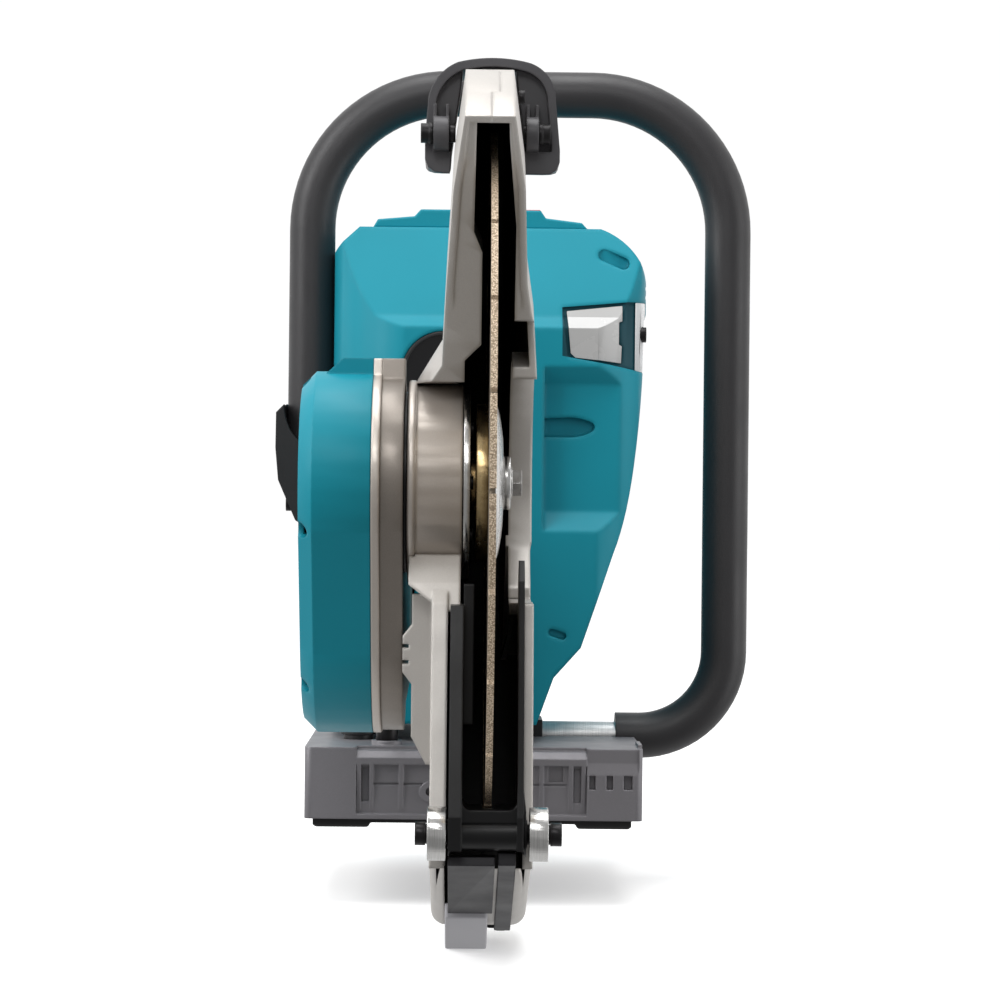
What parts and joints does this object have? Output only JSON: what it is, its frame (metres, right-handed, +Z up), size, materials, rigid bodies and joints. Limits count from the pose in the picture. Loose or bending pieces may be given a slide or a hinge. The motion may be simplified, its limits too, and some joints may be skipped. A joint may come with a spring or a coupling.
{
  "type": "battery power cutter",
  "caption": "Hand-held battery cut-off machine with a large segmented wheel in a turning guard, a loop front handle, a rear trigger handle and a flat base.",
  "frame": {"origin": "centre of the bottom of the machine's bounding box", "axes": "+Y from the wheel back to the rear handle, +X to the right seen from the front, +Z up"},
  "size_m": [0.29, 0.7825, 0.499],
  "materials": {
    "teal_plastic": "teal moulded housing",
    "cast_silver": "silver painted casting",
    "gear_case_metal": "bare die casting",
    "wheel_steel": "ground steel core",
    "segment_metal": "sintered diamond segments",
    "steel": "machined steel",
    "brass_flange": "yellow passivated steel",
    "dark_plastic": "black moulding",
    "grey_plastic": "dark grey moulding",
    "pale_plastic": "light grey moulding",
    "base_grey": "grey painted casting",
    "rubber": "black rubber",
    "black_steel": "black oxide steel",
    "panel_grey": "light grey panel",
    "lens": "smoked lens",
    "copper": "copper windings",
    "board": "circuit board",
    "red_plastic": "red button"
  },
  "bodies": {
    "machine": {"gear_case": "gear_case_metal", "motor_plate": "cast_silver", "motor_cover": "teal_plastic", "guard_friction_ring": "dark_plastic", "hub_retainer": "steel", "ball_bearings": "steel", "stator_core": "steel", "stator_windings": "copper", "stator_carrier": "gear_case_metal", "housing_left": "teal_plastic", "housing_right": "teal_plastic", "side_panel": "panel_grey", "lamp_housing": "dark_plastic", "lamp_lens": "lens", "top_trim": "teal_plastic", "battery_cradle": "dark_plastic", "battery_left": "dark_plastic", "battery_right": "dark_plastic", "terminal_block": "dark_plastic", "control_board": "board", "front_handle_tube": "steel", "front_handle_grip": "rubber", "handle_bracket": "dark_plastic", "handle_clamp": "dark_plastic", "base_frame": "base_grey", "rubber_feet": "rubber", "vibration_dampers": "rubber", "rear_handle_left": "dark_plastic", "rear_handle_right": "dark_plastic", "switch_module": "dark_plastic", "fasteners": "black_steel", "hinge_pins": "steel"},
    "wheel": {"wheel_core": "wheel_steel", "wheel_segments": "segment_metal", "inner_flange": "brass_flange", "outer_flange": "steel", "wheel_washer": "steel", "wheel_bolt": "steel", "spindle": "steel", "driven_gear": "steel"},
    "rotor": {"motor_shaft": "steel", "pinion_gear": "steel", "rotor_bell": "steel", "rotor_magnets": "black_steel"},
    "guard": {"guard_left_half": "cast_silver", "guard_right_half": "cast_silver", "guard_hub": "cast_silver", "roller_bracket": "dark_plastic", "chute_covers": "grey_plastic", "chute_end": "pale_plastic", "guard_handle": "grey_plastic", "guard_fasteners": "black_steel"},
    "roller_l": {"roller_left": "steel"},
    "roller_r": {"roller_right": "steel"},
    "cover": {"battery_cover": "teal_plastic"},
    "latch": {"cover_latch": "dark_plastic"},
    "trigger": {"trigger": "dark_plastic"},
    "lock_off": {"lock_off_lever": "red_plastic"},
    "button": {"power_button": "red_plastic"}
  },
  "joints": [
    {"name": "guard_swing", "type": "hinge", "parent": "machine", "child": "guard", "pos_m": [-0.0445, -0.21375, 0.244], "axis": [1, 0, 0], "range_deg": [0, 75]},
    {"name": "wheel_spin", "type": "hinge", "parent": "machine", "child": "wheel", "pos_m": [-0.0165, -0.21375, 0.244], "axis": [1, 0, 0], "continuous": true},
    {"name": "rotor_spin", "type": "hinge", "parent": "machine", "child": "rotor", "pos_m": [-0.0915, -0.15972, 0.19344], "axis": [1, 0, 0], "continuous": true},
    {"name": "roller_left_spin", "type": "hinge", "parent": "guard", "child": "roller_l", "pos_m": [-0.0411, -0.30875, 0.075], "axis": [1, 0, 0], "continuous": true},
    {"name": "roller_right_spin", "type": "hinge", "parent": "guard", "child": "roller_r", "pos_m": [0.0077, -0.30875, 0.075], "axis": [1, 0, 0], "continuous": true},
    {"name": "battery_cover_hinge", "type": "hinge", "parent": "machine", "child": "cover", "pos_m": [-0.0205, 0.23525, 0.405], "axis": [-1, 0, 0], "range_deg": [0, 95]},
    {"name": "cover_latch_hinge", "type": "hinge", "parent": "cover", "child": "latch", "pos_m": [-0.0165, 0.14625, 0.4085], "axis": [-1, 0, 0], "range_deg": [0, 60], "stiffness_Nm_per_rad": 0.02},
    {"name": "trigger_pull", "type": "hinge", "parent": "machine", "child": "trigger", "pos_m": [-0.0165, 0.28925, 0.316], "axis": [1, 0, 0], "range_deg": [0, 8], "stiffness_Nm_per_rad": 1},
    {"name": "lock_off_press", "type": "hinge", "parent": "machine", "child": "lock_off", "pos_m": [-0.0165, 0.36325, 0.322], "axis": [1, 0, 0], "range_deg": [0, 6], "stiffness_Nm_per_rad": 0.5},
    {"name": "power_button_press", "type": "slide", "parent": "machine", "child": "button", "axis": [0, 0, -1], "range_m": [0, 0.002], "stiffness_N_per_m": 400}
  ],
  "couplings": [
    {"joint": "rotor_spin", "follows": "wheel_spin", "ratio": -1.8462}
  ]
}
